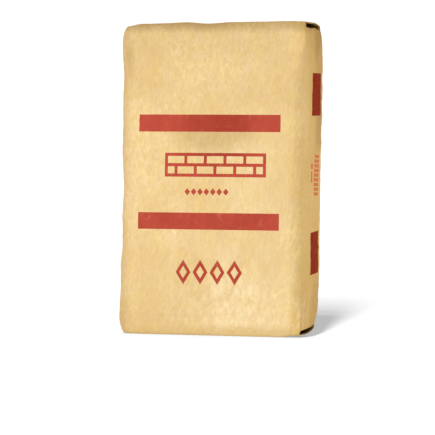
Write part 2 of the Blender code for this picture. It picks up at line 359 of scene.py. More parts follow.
def shape_section(points, shape):
    """Turns the block's rectangular sections into the sack's rounded, bowed ones."""
    half_x, half_y = shape.half
    block_x, block_y, height = points.T
    nest = np.maximum(np.abs(block_x) / half_x, np.abs(block_y) / half_y)
    nest = np.maximum(nest, NO_ZERO)
    radius = corner_radius(points, shape)
    wall_x, wall_y = block_x / nest, block_y / nest
    core_x = np.clip(wall_x, radius - half_x, half_x - radius)
    core_y = np.clip(wall_y, radius - half_y, half_y - radius)
    out_x, out_y = wall_x - core_x, wall_y - core_y
    share = radius / np.maximum(np.hypot(out_x, out_y), NO_ZERO)
    x = (core_x + out_x * share) * nest
    y = (core_y + out_y * share) * nest

    inner = from_nearest_end(height)
    swell = soft_step(inner / shape.swell_length)
    drawn = (1.0 - np.clip(inner / shape.draw_height, 0.0, 1.0)) ** 1.7
    right = -shape.draw_right * drawn + soft_curve(RIGHT_BULGE, height)
    left = -shape.draw_left * drawn + soft_curve(LEFT_BULGE, height)
    reach_x = half_x + swell * shape.extra_width / 2 + np.where(block_x > 0, right, left)
    reach_y = half_y + swell * shape.extra_depth / 2
    bow_y = shape.face_crown * swell * (1.0 - np.clip(x / half_x, -1, 1) ** 2)
    bow_x = shape.side_crown * swell * (1.0 - np.clip(y / half_y, -1, 1) ** 2)
    points[:, 0] = x * (reach_x + bow_x) / half_x
    points[:, 1] = y * (reach_y + bow_y) / half_y


def corner_shift(x, y, corners, shape):
    """Height that the corners of an end gain, from a list of lifts or drops."""
    half_x, half_y = shape.half
    total = np.zeros(len(x))
    for side_x, side_y, height, reach_x, reach_y, power in corners:
        share = soft_step(1.0 - (half_x - side_x * x) / reach_x)
        if side_y:
            share = share * np.clip(1.0 - (half_y - side_y * y) / reach_y, 0.0, 1.0) ** power
        total += height * share
    return total


def shift_ends(points, shape):
    """Lifts and drops the corners and waves the upper end."""
    x, y, z = points.T
    low = 1.0 - soft_step((z - SACK_FOOT) / LIFT_HEIGHT)
    high = 1.0 - soft_step((SACK_TOP - z) / LIFT_HEIGHT)
    wave = soft_curve(TOP_WAVE, x) * (0.55 - 0.45 * y / shape.half[1])
    beside_patch = soft_step((np.abs(y) - shape.patch_width / 2) / 0.005)
    at_foot = low * (corner_shift(x, y, BOTTOM_CORNERS, shape) - shape.sag * beside_patch)
    at_top = high * (corner_shift(x, y, TOP_CORNERS, shape) + wave)
    points[:, 2] = z + at_foot + at_top


def lip_shift(points, block, shape):
    """Moves the lips of the slits: the far ones are pressed shut, the near ones gape at the back."""
    half_x, half_y = shape.half
    x, y, z = block.T
    across = np.clip(y, -half_y, half_y)
    at_slit = (np.abs(x) > half_x - shape.pocket_depth - TINY) & (np.abs(y) < half_y + TINY)
    waver = 0.0008 * np.cos(across * 43.0)
    for end, way, gape in ((SACK_TOP, 1, TOP_GAPE), (SACK_FOOT, -1, LOW_GAPE)):
        below = way * (end - z) - shape.panel
        past_lip = 1.0 - soft_step((below - shape.mouth) / 0.040)
        fade = np.where(below <= shape.mouth, below / shape.mouth, past_lip)
        opening = np.where(x > 0, soft_curve(gape, across), shape.far_mouth - waver)
        points[:, 2] += at_slit * (below > 0) * way * (shape.mouth - opening) * fade
    from_top = SACK_TOP - z
    thicker = np.minimum(from_top / shape.panel, 1.0 - (from_top - shape.panel) / shape.mouth)
    back_end = soft_step((0.050 - y) / 0.030)
    points[:, 2] -= at_slit * (x > 0) * shape.valve_roof * np.clip(thicker, 0.0, 1.0) * back_end


def shape_points(block, shape):
    """Where points of the straight block lie on the filled, sagging sack."""
    points = block.copy()
    round_folds(points, shape)
    shape_section(points, shape)
    shift_ends(points, shape)
    return points


def flap_relief(x, y, shape):
    """Height of the folded flaps on an end: their slanted edges and their overlap."""
    half_x, half_y = shape.half
    slant = (half_x - np.abs(x)) - (half_y - np.abs(y))
    flap = soft_step(slant / 0.0016 + 0.5)
    overlap = soft_step((OVERLAP_HALF - np.abs(y)) / 0.0014)
    return FLAP_STEP * (flap - 1.0 + overlap * flap)


# Modelling helpers

def deselect_all():
    if bpy.context.mode != "OBJECT":
        bpy.ops.object.mode_set(mode="OBJECT")
    bpy.ops.object.select_all(action="DESELECT")


def select_where(kind, chosen):
    """Selects the faces or edges of the piece in edit mode that pass a test of their place."""
    mesh = bmesh.from_edit_mesh(bpy.context.edit_object.data)
    bpy.ops.mesh.select_all(action="DESELECT")
    bpy.ops.mesh.select_mode(type=kind)
    for part in mesh.faces if kind == "FACE" else mesh.edges:
        part.select_set(bool(chosen(part)))
    bmesh.update_edit_mesh(bpy.context.edit_object.data)


def runs_along(axis):
    """A test for edges that run along an axis."""
    def test(edge):
        way = edge.verts[1].co - edge.verts[0].co
        return abs(way[axis]) > 0.9 * way.length
    return test


def read_vectors(vectors, key):
    values = np.empty(len(vectors) * 3)
    vectors.foreach_get(key, values)
    return values.reshape(-1, 3)


def read_points(piece):
    return read_vectors(piece.data.vertices, "co")


def write_points(piece, points):
    piece.data.vertices.foreach_set("co", points.ravel())
    piece.data.update()


def raise_surface(piece, points, height):
    """Sets a piece's points, then moves each along its normal."""
    write_points(piece, points)
    normals = read_vectors(piece.data.vertex_normals, "vector")
    write_points(piece, points + normals * height[:, None])


def grid_block(name, lines):
    """A block whose faces carry grid lines at the given X, Y and Z places."""
    deselect_all()
    low = Vector([places[0] for places in lines])
    high = Vector([places[-1] for places in lines])
    bpy.ops.mesh.primitive_cube_add(size=1, location=(low + high) / 2, scale=high - low)
    piece = bpy.context.active_object
    piece.name = name
    piece.data.name = name
    bpy.ops.object.transform_apply(location=True, rotation=True, scale=True)
    bpy.ops.object.mode_set(mode="EDIT")
    for axis, places in enumerate(lines):
        steps = len(places) - 1
        rounds = next(part for part in (1, 2, 3, 4) if steps % part == 0 and steps / part <= CUTS_PER_STEP)
        for cuts in (rounds - 1, steps // rounds - 1):
            if cuts:
                select_where("EDGE", runs_along(axis))
                bpy.ops.mesh.subdivide(number_cuts=cuts)
    bpy.ops.object.mode_set(mode="OBJECT")
    points = read_points(piece)
    for axis, places in enumerate(lines):
        share = (points[:, axis] - low[axis]) / (high[axis] - low[axis])
        points[:, axis] = np.array(places)[np.rint(share * (len(places) - 1)).astype(int)]
    write_points(piece, points)
    return piece


def even_lines(low, high, step, edge_lines, divide_by=1):
    """Grid places from low to high: close together at both edges, even between them."""
    near = [low] + [low + distance for distance in edge_lines]
    far = [high - distance for distance in reversed(edge_lines)] + [high]
    span = far[0] - near[-1]
    count = max(1, round(span / step))
    while (count + 2 * len(edge_lines)) % divide_by:
        count += 1
    middle = [near[-1] + span * part / count for part in range(1, count)]
    return near + middle + far


def with_lines(lines, added, divide_by):
    """Adds grid places, then halves the widest steps until their number divides evenly."""
    lines = sorted(lines + list(added))
    while (len(lines) - 1) % divide_by:
        widest = max(range(len(lines) - 1), key=lambda index: lines[index + 1] - lines[index])
        lines.insert(widest + 1, (lines[widest] + lines[widest + 1]) / 2)
    return lines


def finish_piece(piece, material):
    """Shades a piece, gives it its material and joins it to the body it moves with."""
    deselect_all()
    piece.select_set(True)
    bpy.context.view_layer.objects.active = piece
    bpy.ops.object.shade_smooth_by_angle(angle=math.radians(SMOOTH_ANGLE))
    piece.data.materials.clear()
    piece.data.materials.append(material)
    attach(piece, "root")
    piece.select_set(False)


# The paper sack

def sack_lines(shape):
    """Grid places of the block, with rows at the slits' lips and roofs."""
    half_x, half_y = shape.half
    seam_lines = (SEAM_EDGE - SEAM_SLOPE, SEAM_EDGE, SEAM_EDGE + SEAM_SLOPE)
    lines_x = with_lines(even_lines(-half_x, half_x, shape.grid_step, EDGE_LINES_X), seam_lines, 2)
    lines_y = even_lines(-half_y, half_y, shape.grid_step, EDGE_LINES_Y)
    edge_lines = [shape.panel * row / PANEL_ROWS for row in range(1, PANEL_ROWS + 1)]
    edge_lines += [shape.panel + shape.mouth * row / MOUTH_ROWS for row in range(1, MOUTH_ROWS + 1)]
    edge_lines += [shape.panel + shape.mouth + distance for distance in LIP_LINES]
    return lines_x, lines_y, even_lines(SACK_FOOT, SACK_TOP, shape.grid_step, edge_lines, 4)


def push_in_pockets(shape):
    """Pushes the slits of the four short edges inwards as wedge-shaped pockets."""
    half_x, half_y = shape.half
    cuts = round(shape.pocket_depth / shape.grid_step) - 1
    for side in (-1, 1):

        def in_mouth(face, side=side):
            middle = face.calc_center_median()
            inner = min(middle.z - SACK_FOOT, SACK_TOP - middle.z)
            near_wall = shape.valve_wall if middle.z > SACK_MIDDLE else EDGE_LINES_Y[1]
            front = half_y - (near_wall if side > 0 else shape.far_wall)
            at_mouth = shape.panel < inner < shape.panel + shape.mouth
            on_side = abs(middle.x - side * half_x) < TINY
            return at_mouth and on_side and -front < middle.y < shape.mouth_back

        def along_pocket(edge, side=side):
            near, far = sorted(abs(vertex.co.x) for vertex in edge.verts)
            return far - near > shape.pocket_depth * 0.9 and edge.verts[0].co.x * side > 0

        select_where("FACE", in_mouth)
        bpy.ops.mesh.extrude_region_move(
            TRANSFORM_OT_translate={"value": (-side * shape.pocket_depth, 0.0, 0.0)})
        mesh = bmesh.from_edit_mesh(bpy.context.edit_object.data)
        for vertex in mesh.verts:
            if vertex.select:
                at_top = vertex.co.z > SACK_MIDDLE
                roof = SACK_TOP - shape.panel if at_top else SACK_FOOT + shape.panel
                vertex.co.z = roof + (vertex.co.z - roof) * shape.pocket_end / shape.mouth
        bmesh.update_edit_mesh(bpy.context.edit_object.data)
        select_where("EDGE", along_pocket)
        bpy.ops.mesh.subdivide(number_cuts=cuts)


def side_triangle(block, shape):
    """Distance inside the folded triangle of a narrow side, measured from its slanted creases."""
    _, y, z = block.T
    inner = from_nearest_end(z) - shape.panel - shape.mouth
    slope_y, slope_z = TRIANGLE_SLOPES
    return shape.half[1] + SIDE_FOLD - np.abs(y - SIDE_FOLD) * slope_y - inner * slope_z


def fold_creases(block, shape):
    """Creases left from the flat sack: across the broad faces and in the narrow sides."""
    x, y, z = block.T
    narrow, broad, _ = walls_at(block, shape)
    inner = from_nearest_end(z)
    across = inner - shape.crease_length - 0.002 * np.sin(x * 21.0)
    step = CREASE_STEP * soft_step(across / 0.006 + 0.5) + 0.0005 * line_valley(across, 0.0026)
    inside = side_triangle(block, shape)
    sunk = 0.075 * np.clip(inside, 0.0, 0.030) + 0.0007 * line_valley(inside, 0.0024)
    middle = line_valley(y - SIDE_FOLD, 0.0030) * soft_step(-inside / 0.015)
    ends = soft_step(inner / 0.012) * (1.0 - 0.8 * soft_step((np.abs(y) - 0.022) / 0.030))
    return broad * (step - CREASE_STEP) + narrow * (CREASE_STEP * middle - sunk * ends)


def seam_relief(block, shape):
    """The lengthwise glued seam of the back: the upper sheet's edge stands proud."""
    _, _, back = walls_at(block, shape)
    from_edge = block[:, 0] - SEAM_EDGE
    rise = np.clip(from_edge / SEAM_SLOPE, 0.0, 1.0)
    fall = 1.0 - soft_step((from_edge - SEAM_WIDTH) / 0.010)
    return back * SEAM_STEP * rise * fall


def wrinkles(block, shape):
    """Long soft creases from handling: each a low ridge beside a shallow valley."""
    chance = np.random.default_rng(5)
    total = np.zeros(len(block))
    for axis, side, count, strength in WRINKLED_WALLS:
        on_wall = side * block[:, axis] > shape.half[axis] - TINY
        wall = np.zeros(on_wall.sum())
        for _ in range(count):
            across = block[on_wall, 1 - axis] - chance.uniform(-0.85, 0.85) * shape.half[1 - axis]
            up = block[on_wall, 2] - chance.uniform(0.03, 0.61)
            turn = math.radians(chance.normal(70.0, 30.0))
            along = across * math.cos(turn) + up * math.sin(turn)
            off = up * math.cos(turn) - across * math.sin(turn) + chance.uniform(-3.0, 3.0) * along ** 2
            reach, width = chance.uniform(0.020, 0.070), chance.uniform(0.0035, 0.0065)
            ridge = line_valley(off, width) - 0.7 * line_valley(off - 1.7 * width, 1.4 * width)
            wall += chance.uniform(0.0005, 0.0012) * strength * ridge * line_valley(along, reach)
        total[on_wall] = wall
    return total


def dents(across, height, places):
    """How far soft round dents lower the paper."""
    return -sum(
        depth * np.exp(-((across - middle) / reach_across) ** 2 - ((height - level) / reach_along) ** 2)
        for middle, level, reach_across, reach_along, depth in places)


def paper_relief(points, block, shape):
    """How far the paper stands proud of the plain form: lumps, creases and crinkles."""
    x, y, z = points.T
    narrow, broad, _ = walls_at(block, shape)
    inner = from_nearest_end(block[:, 2])
    front = soft_step((-y - 0.040) / 0.02)
    right = soft_step((x - 0.175) / 0.01)
    lumps = noise_at(points, 8.0, 2.1) + 0.6 * noise_at(points, 21.0, 5.3)
    grain = stretched(points, 22.0, 1.7)
    facets = crease_at(grain, 46.0, 1.3) - 0.35
    small = crease_at(stretched(points, -28.0, 1.4), 85.0, 4.4) - 0.35
    ripples = noise_at(grain, 95.0, 8.2)
    lower_right = line_valley(x - 0.09, 0.09) * line_valley(z - 0.07, 0.06)
    crumple = 0.55 + 0.45 * noise_at(points, 11.0, 9.9) + 1.3 * lower_right * front
    relief = shape.lump_depth * lumps * soft_step(inner / 0.05)
    crinkles = 0.8 * facets + 0.45 * small + 0.5 * ripples
    relief += shape.crinkle_depth * np.clip(crumple, 0.25, 2.1) * crinkles
    relief += front * dents(x, z, FRONT_DENTS) + right * dents(y, z, SIDE_DENTS)
    relief += fold_creases(block, shape) + seam_relief(block, shape) + wrinkles(block, shape)
    return (narrow | broad) * relief * soft_step(inner / np.where(broad, 0.013, 0.004))


def pocket_share(block, shape):
    """0 outside the slits, and from 0 at a slit's mouth to 1 at its inner end."""
    half_x, half_y = shape.half
    x, y, z = block.T
    inside = (np.abs(y) < half_y - TINY) & (from_nearest_end(z) > TINY)
    depth = (half_x - np.abs(x)) / shape.pocket_depth
    return np.where(inside & (depth > 1e-4) & (depth < 1.01), np.clip(depth, 0.0, 1.0), 0.0)


def crease_shade_share(block, shape):
    """Painted shade, 0 to 1: creases, the valve side's back, the left fold, the seam's edge (with its
    glue).
    """
    half_x, half_y = shape.half
    x, y, z = block.T
    narrow, _, back = walls_at(block, shape)
    inside = side_triangle(block, shape)
    upper = soft_step((z - 0.50) / 0.06)
    folded = (0.04 + 0.18 * upper) * soft_step(inside / 0.006) + 0.22 * line_valley(inside, 0.0018)
    top_corner = line_valley(y - 0.0415, 0.0024) * line_valley(z - 0.6235, 0.0085)
    low_line = line_valley(y + half_y - 0.007, 0.0040) * soft_step((0.045 - z) / 0.022)
    folded += (1.2 * top_corner + 0.26 * low_line) * (x > 0)
    toward_back = soft_step((y + 0.018) / 0.034) * soft_step((x - half_x + 0.035) / 0.035)
    side_shade = soft_curve(SIDE_SHADE, z) * toward_back
    seam = 0.7 * line_valley(x - SEAM_EDGE + 0.0004, 0.0009)
    front_fold = 0.50 * line_valley(x + 0.179, 0.0150) * line_valley(z - 0.566, 0.062)
    at_front = y < TINY - half_y
    return narrow * folded + (narrow | back) * side_shade + back * seam + at_front * front_fold


def flap_edge_shade_share(block, shape):
    """Painted shade on the raw edges of the flaps that roof the slits: 1, and 0.3 at the upper end."""
    _, y, z = block.T
    narrow, _, _ = walls_at(block, shape)
    inner = from_nearest_end(z)
    at_edge = narrow & (inner > shape.panel * 0.1) & (inner < shape.panel * 1.01)
    top = z > SACK_MIDDLE
    start = np.where(top, shape.valve_wall - 0.001, 0.002)
    along = soft_step((y + shape.half[1] - start) / 0.003) * soft_step((shape.mouth_back - y) / 0.012)
    return at_edge * along * np.where(top, 0.3, 1.0)


def wall_share(block, shape):
    """1 on the walls and the folds, 0 on the flat ends."""
    half_x, half_y = shape.half
    x, y, z = block.T
    inward = np.minimum(half_x - np.abs(x), half_y - np.abs(y))
    on_end = from_nearest_end(z) < TINY
    return np.where(on_end, 1.0 - soft_step((inward - 0.003) / 0.008), 1.0)


SHARES = {
    "pocket_shade": pocket_share, "crease": crease_shade_share, "flap_edge_shade": flap_edge_shade_share, "wall": wall_share}


def make_sack(shape):
    piece = grid_block("sack_paper", sack_lines(shape))
    bpy.ops.object.mode_set(mode="EDIT")
    push_in_pockets(shape)
    bpy.ops.object.mode_set(mode="OBJECT")
    block = read_points(piece)
    points = shape_points(block, shape)
    lip_shift(points, block, shape)
    on_top = block[:, 2] > SACK_TOP - TINY
    points[:, 2] += on_top * flap_relief(points[:, 0], points[:, 1], shape)
    raise_surface(piece, points, paper_relief(points, block, shape))
    for name, share in SHARES.items():
        layer = piece.data.attributes.new(name, "FLOAT", "POINT")
        layer.data.foreach_set("value", share(block, shape).astype(np.float32))
    return piece


# Shader recipes

class Pattern:
    """A number or colour that a material works out at each point of a surface."""

    def __init__(self, recipe, socket):
        self.recipe = recipe
        self.socket = socket

    def math(self, operation, *others):
        inputs = dict(enumerate((self, *others)))
        return self.recipe.pattern("ShaderNodeMath", inputs, operation=operation)

    def __add__(self, other):
        return self.math("ADD", other)

    def __sub__(self, other):
        return self.math("SUBTRACT", other)

    def __rsub__(self, other):
        return self.math("MULTIPLY_ADD", -1.0, other)

    def __mul__(self, other):
        return self.math("MULTIPLY", other)

    def __truediv__(self, other):
        return self.math("DIVIDE", other)

    def __or__(self, other):
        return self.math("MAXIMUM", other)

    def __abs__(self):
        return self.math("ABSOLUTE")

    def ramp(self, low, high):
        """From 0 at low to 1 at high, soft between and level beyond. Low may be the greater."""
        inputs = {"Value": self, "From Min": low, "From Max": high}
        return self.recipe.pattern("ShaderNodeMapRange", inputs, "Result", interpolation_type="SMOOTHSTEP")

    def band(self, low, high):
        """1 between two values."""
        return self.math("COMPARE", (low + high) / 2, (high - low) / 2)


class Recipe:
    """A material whose nodes are added one by one."""

    def __init__(self, name):
        self.material = bpy.data.materials.new(name)
        self.material.use_nodes = True
        self.tree = self.material.node_tree
        self.shader = self.tree.nodes["Principled BSDF"]
        self.place = self.pattern("ShaderNodeTexCoord", {}, "Object")

    def set(self, node, inputs):
        for key, value in inputs.items():
            if isinstance(value, Pattern):
                self.tree.links.new(value.socket, node.inputs[key])
            else:
                node.inputs[key].default_value = value

    def put(self, kind, inputs, **settings):
        node = self.tree.nodes.new(kind)
        for key, value in settings.items():
            setattr(node, key, value)
        self.set(node, inputs)
        return node

    def pattern(self, kind, inputs, output=0, **settings):
        return Pattern(self, self.put(kind, inputs, **settings).outputs[output])

    def axes(self):
        """The place's X, Y and Z."""
        apart = self.put("ShaderNodeSeparateXYZ", {0: self.place})
        return [Pattern(self, socket) for socket in apart.outputs]

    def attribute(self, name):
        return self.pattern("ShaderNodeAttribute", {}, "Fac", attribute_name=name)

    def mapped(self, upward, lean=0.0, shift=(0.0, 0.0, 0.0)):
        """The place with heights scaled, leaning by some degrees to the side."""
        turn = (0.0, math.radians(lean), 0.0)
        inputs = {"Vector": self.place, "Scale": (1.0, 1.0, upward), "Rotation": turn, "Location": shift}
        return self.pattern("ShaderNodeMapping", inputs)

    def noise(self, scale, detail, roughness, place=None):
        inputs = {"Vector": place or self.place, "Scale": scale, "Detail": detail, "Roughness": roughness}
        return self.pattern("ShaderNodeTexNoise", inputs, "Fac")

    def cell_edges(self, scale, highest, place=None):
        """Distance from the edges between cells, up to a highest value."""
        inputs = {"Vector": place or self.place, "Scale": scale}
        edges = self.pattern("ShaderNodeTexVoronoi", inputs, "Distance", feature="DISTANCE_TO_EDGE")
        return edges.math("MINIMUM", highest)

    def mix(self, share, first, second, blend="MIX"):
        """A share of the second colour over the first. Slots 6 and 7 take colours, 2 gives one."""
        ends = [end if isinstance(end, Pattern) else (*end, 1.0) for end in (first, second)]
        inputs = {0: share, 6: ends[0], 7: ends[1]}
        return self.pattern("ShaderNodeMix", inputs, 2, data_type="RGBA", blend_type=blend)

    def coats(self, colour, *coats):
        """Lays (share, colour) coats over a colour, one after the other."""
        for share, coat in coats:
            colour = self.mix(share, colour, coat)
        return colour

    def finish(self, colour, roughness, height, bump_depth, specular=0.25):
        bump = self.pattern("ShaderNodeBump", {"Height": height, "Distance": bump_depth, "Strength": 1.0})
        self.set(self.shader, {
            "Base Color": colour, "Roughness": roughness, "Specular IOR Level": specular, "Normal": bump})
        return self.material


def toned(colour, factor):
    """A colour made darker or lighter."""
    return [min(1.0, channel * factor) for channel in colour]


def paper_surface(recipe, base, light, dark):
    """Kraft colour with mottling, worn dabs and fibres, and the height of its fine crinkles."""
    leaning = recipe.mapped(0.62, 30.0)
    fibres = recipe.noise(900.0, 3.0, 0.6, recipe.mapped(0.12))
    clouds = recipe.noise(9.0, 4.0, 0.6)
    mottling = recipe.noise(105.0, 4.0, 0.62, leaning)
    worn = recipe.noise(170.0, 1.0, 0.4, leaning).ramp(0.47, 0.72) * clouds.ramp(0.30, 0.75)
    # The dark mottling follows the noise that lowers the bump: the paper's mottling, and painted shade in
    # the dips
    colour = recipe.coats(
        dark, (clouds.ramp(0.32, 0.66) * 0.5 + 0.5, base), (mottling.ramp(0.62, 0.32) * 0.40, dark),
        (worn * 0.60, light), (fibres.ramp(0.60, 0.80) * 0.10, dark))
    hue = recipe.noise(44.0, 2.0, 0.6, recipe.mapped(0.8, shift=(2.0, 1.0, 3.0)))
    tint = recipe.mix(hue.ramp(0.36, 0.64), (1.0, 0.988, 0.895), (1.0, 0.970, 0.985))
    colour = recipe.mix(1.0, colour, tint, "MULTIPLY")
    height = recipe.cell_edges(120.0, 0.30, leaning) * 1.6 + recipe.cell_edges(240.0, 0.25) * 0.7
    return colour, height + mottling * 2.0 + fibres * 0.10, mottling


def within(across, up, corners):
    """1 inside a rectangle."""
    low, high = corners
    return across.band(low[0], high[0]) * up.band(low[1], high[1])


def brick_courses(recipe, across, up):
    """A running bond drawn with lines, filling its rectangle."""
    low, high = BRICKS
    place = {0: across - (low[0] + BRICK_JOINT / 2), 1: up - (low[1] + BRICK_JOINT / 2)}
    bond = recipe.pattern("ShaderNodeTexBrick", {
        "Vector": recipe.pattern("ShaderNodeCombineXYZ", place), "Scale": 1.0,
        "Mortar Size": BRICK_JOINT / 2, "Mortar Smooth": 0.0, "Brick Width": BRICK_LENGTH,
        "Row Height": (high[1] - low[1] - BRICK_JOINT) / BRICK_ROWS,
    }, "Fac")
    whole = within(across, up, BRICKS)
    core = [[end + side * BRICK_JOINT for end in corner] for corner, side in ((low, 1), (high, -1))]
    return whole * (whole - within(across, up, core) | bond)


def diamond_row(across, up, corners, count, line):
    """A row of diamonds, drawn as outlines, or filled where line is 0."""
    low, high = corners
    pitch = (high[0] - low[0]) / count
    half_width, half_height = pitch * 0.44, (high[1] - low[1]) / 2
    upright_share = 1.45          # a slanted line's upright cut against its width
    along = (across - (low[0] + pitch / 2)).math("PINGPONG", pitch / 2)
    far = along / half_width + abs(up - (low[1] + high[1]) / 2) / half_height
    shape = far.math("LESS_THAN", 1.0)
    if line:
        shape = shape - far.math("LESS_THAN", 1.0 - line * upright_share / half_height)
    return shape * within(across, up, corners)


def printed(recipe, x, y, z):
    """1 where ink lies: bars and plain ornament on the front and on the valve side."""
    front, side = y.math("LESS_THAN", -0.05), x.math("GREATER_THAN", 0.165)
    bleed = recipe.noise(420.0, 2.0, 0.6) * 0.0010 - 0.0005
    x, y, z = (axis + bleed for axis in (x, y, z))
    upper_bar, lower_bar = (z.band(*heights) for heights in BAR_HEIGHTS)
    ornament = brick_courses(recipe, x, z) | diamond_row(x, z, DOTS, DOT_COUNT, 0.0)
    ornament = ornament | diamond_row(x, z, DIAMONDS, DIAMOND_COUNT, DIAMOND_LINE)
    front_ink = front * x.band(*BAR_ENDS) * (upper_bar | lower_bar | ornament)
    level = z - y * (0.125 - z * 0.16)
    upper_bar, lower_bar = (within(y, level, bar) for bar in SIDE_BARS)
    along = (z - SIDE_BLOCKS[0][1]).math("PINGPONG", BLOCK_PITCH / 2)
    blocks = along.math("GREATER_THAN", BLOCK_PITCH * 0.14) * within(y, z, SIDE_BLOCKS)
    upper_dash, lower_dash = (within(y, z, dash) for dash in SIDE_DASHES)
    return front_ink, side * (upper_bar | lower_bar), side * (blocks | upper_dash | lower_dash)


def shade_shares(recipe, x, y, z, on_front):
    """Shares of painted shade (the fold tint) and shaded kraft: folds, edges and under the upper bar."""
    wall = recipe.attribute("wall")
    wobble = recipe.noise(24.0, 2.0, 0.5) * 0.016 - 0.008
    top_band = wall * (z + wobble).ramp(0.6060, 0.6400) * (0.90 - x.ramp(0.03, 0.11) * 0.20)
    above_foot = z + x.ramp(0.02, -0.08) * 0.008
    low_band = wall * above_foot.ramp(0.0300, 0.0050) * 0.15
    left_band = x.ramp(-0.1590, -0.1950) * 0.47
    low_corner = x.ramp(0.164, 0.194) * z.ramp(0.16, 0.05) * y.ramp(0.015, -0.035) * 0.12
    under_top = z.ramp(0.535, 0.615) * on_front
    upper_face = under_top * 0.11 + z.ramp(0.44, 0.50) * 0.075
    # Painted shade of a shallow dip in the paper under the upper bar
    across, up = (x - 0.006) / 0.118, (z - 0.425) / 0.066
    from_bar_shade = (across * across + up * up).math("SQRT")
    bar_shade = from_bar_shade.ramp(1.0, 0.45) * z.ramp(0.456, 0.440) * on_front * 0.36
    # The creases attribute holds painted shade
    creases = recipe.attribute("crease")
    shade = top_band | low_band | left_band | low_corner | upper_face | bar_shade | creases
    warm = wall * above_foot.ramp(0.0300, 0.0070) * 0.44 | under_top * 0.12 | bar_shade * 0.45
    return shade, warm


def side_share(x, y, z):
    """How much of the shaded kraft lies on the valve side, round its front corner."""
    from_middle = abs(z - 0.31)
    x_side = x + z.ramp(0.130, 0.060) * 0.012
    y_side = y + z.ramp(0.420, 0.260) * 0.028 + from_middle.ramp(0.225, 0.300) * 0.026
    strength = from_middle.ramp(0.05, 0.22) * 0.28 + 0.40
    return strength * x_side.ramp(0.180, 0.1950) * y_side.ramp(-0.066, -0.026)


def ink_colour(recipe, x, z, mottling, colours):
    """Front ink: painted shade round the upper bar's middle, darker in clouds and low, worn in flecks."""
    bar_middle_shade = abs(x - 0.022).ramp(0.100, 0.020) * z.ramp(0.30, 0.40)
    clouded = recipe.noise(30.0, 2.0, 0.5).ramp(0.35, 0.65) * 0.22
    cover = bar_middle_shade * 0.55 + clouded + z.ramp(0.33, 0.26) * 0.16
    return recipe.coats(
        colours.ink, (cover, colours.ink_thick_and_shaded), (mottling.ramp(0.52, 0.78) * 0.08, colours.kraft_light))


def front_coats(recipe, x, y, z, on_front, mottling, colours):
    """The front's crumpled lower right, its slanting strokes, and its paler and darker half."""
    crumpled = z.ramp(0.150, 0.060) * x.ramp(-0.06, 0.06) * y.ramp(0.02, -0.06)
    crumpled = crumpled * mottling.ramp(0.52, 0.38) * 0.50
    strokes = recipe.noise(80.0, 4.0, 0.62, recipe.mapped(0.45, -38.0)).ramp(0.42, 0.68)
    strokes = strokes * z.ramp(0.230, 0.090) * z.ramp(0.000, 0.024) * x.ramp(-0.160, 0.020)
    strokes = strokes * x.ramp(0.170, 0.080) * on_front * 0.50
    pale = x.ramp(-0.020, 0.070) * z.ramp(0.470, 0.380) * on_front * 0.10
    deeper = x.ramp(0.060, -0.100) * x.ramp(-0.195, -0.120) * z.ramp(0.220, 0.080) * on_front * 0.34
    return (
        (crumpled, colours.kraft_light), (strokes, colours.cream), (pale, colours.kraft_pale),
        (deeper, colours.kraft_dark))


def kraft_material(colours):
    recipe = Recipe("printed_kraft")
    x, y, z = recipe.axes()
    on_front = y.ramp(-0.045, -0.062) * x.ramp(0.190, 0.150)
    colour, height, mottling = paper_surface(recipe, colours.kraft, colours.kraft_light, colours.kraft_dark)
    colour = recipe.mix(x.ramp(0.158, 0.186), colour, colours.edge_tint, "MULTIPLY")
    shade, warm = shade_shares(recipe, x, y, z, on_front)
    colour = recipe.coats(
        colour, (side_share(x, y, z), colours.kraft_shade),
        *front_coats(recipe, x, y, z, on_front, mottling, colours), (warm, colours.kraft_shade))
    colour = recipe.mix(shade, colour, colours.shadow_tint, "MULTIPLY")
    front_ink, side_ink, faded_ink = printed(recipe, x, y, z)
    # Painted shade in the slits, turning to painted light at their back end
    slit_shade_and_glow = recipe.mix(y.ramp(0.008, 0.034), colours.pocket_shade, colours.pocket_end)
    colour = recipe.coats(
        # The side's bars take the shaded copy of the ink: painted shade
        colour, (front_ink, ink_colour(recipe, x, z, mottling, colours)), (side_ink, colours.ink_side_shaded),
        (faded_ink * 0.85, colours.ink_faded), (recipe.attribute("pocket_shade").ramp(0.0, 0.10), slit_shade_and_glow),
        # painted shade on the flap edges
        (recipe.attribute("flap_edge_shade") * 0.85, colours.flap_edge_shade))
    return recipe.finish(colour, mottling * 0.18 + 0.66, height, 0.0009, specular=0.07)


def patch_material(colours):
    recipe = Recipe("patch_kraft")
    colour, height, mottling = paper_surface(
        recipe, colours.patch, colours.kraft_light, toned(colours.patch, 0.82))
    x, y, _ = recipe.axes()
    corner = PATCH_BOXES["top_cover_patch"][1]
    from_edge = (corner.x - abs(x)).math("MINIMUM", corner.y - abs(y))
    soaked = from_edge.ramp(0.010, 0.001) * recipe.noise(30.0, 3.0, 0.6).ramp(0.42, 0.60)
    colour = recipe.mix(soaked * 0.35, colour, colours.sleeve)
    return recipe.finish(colour, mottling * 0.18 + 0.62, height, 0.0005)


def sleeve_material(colours):
    recipe = Recipe("sleeve_kraft")
    colour, height, mottling = paper_surface(
        recipe, colours.sleeve, toned(colours.sleeve, 1.35), toned(colours.sleeve, 0.7))
    dust = recipe.noise(60.0, 4.0, 0.65).ramp(0.52, 0.72)
    colour = recipe.mix(dust * 0.4, colour, colours.cement)
    return recipe.finish(colour, mottling * 0.15 + 0.70, height, 0.0004)


def cement_material(colours):
    recipe = Recipe("cement_grey")
    grains = recipe.noise(900.0, 4.0, 0.7)
    clods = recipe.noise(55.0, 4.0, 0.6)
    colour = recipe.coats(
        toned(colours.cement, 0.72), (clods.ramp(0.35, 0.65), colours.cement),
        (grains.ramp(0.50, 0.75) * 0.6, toned(colours.cement, 1.35)))
    return recipe.finish(colour, grains * 0.08 + 0.88, clods * 2.0 + grains, 0.0008, specular=0.15)


